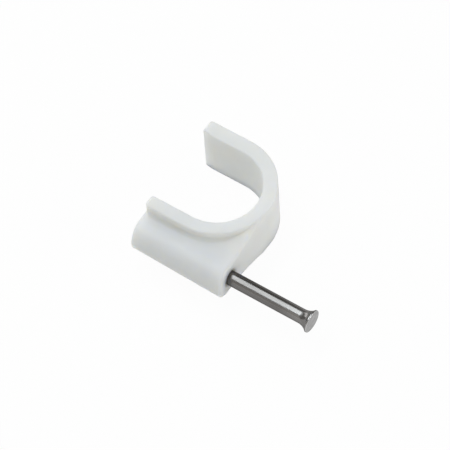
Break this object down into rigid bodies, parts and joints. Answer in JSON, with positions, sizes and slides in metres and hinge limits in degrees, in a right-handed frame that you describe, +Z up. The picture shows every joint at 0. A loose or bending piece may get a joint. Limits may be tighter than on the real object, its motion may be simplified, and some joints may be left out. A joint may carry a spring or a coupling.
{
  "type": "nail-in cable clip",
  "caption": "White moulded round-cable clip with an open half-round seat and a nail boss, its steel nail ready in the boss, for fixing a cable along a wall.",
  "frame": {"origin": "where the nail's axis meets the wall plane, at the middle of the clip's width", "axes": "+X along the nail from the wall to its head, +Y from the nail towards the free leg, +Z along the cable; lying on its side, +Z is up"},
  "size_m": [0.0319, 0.0238, 0.0098],
  "materials": {
    "clip_plastic": "satin moulded white",
    "nail_steel": "plain drawn steel, dark grey"
  },
  "bodies": {
    "root": {"clip_body": "clip_plastic", "nail": "nail_steel"}
  },
  "joints": []
}
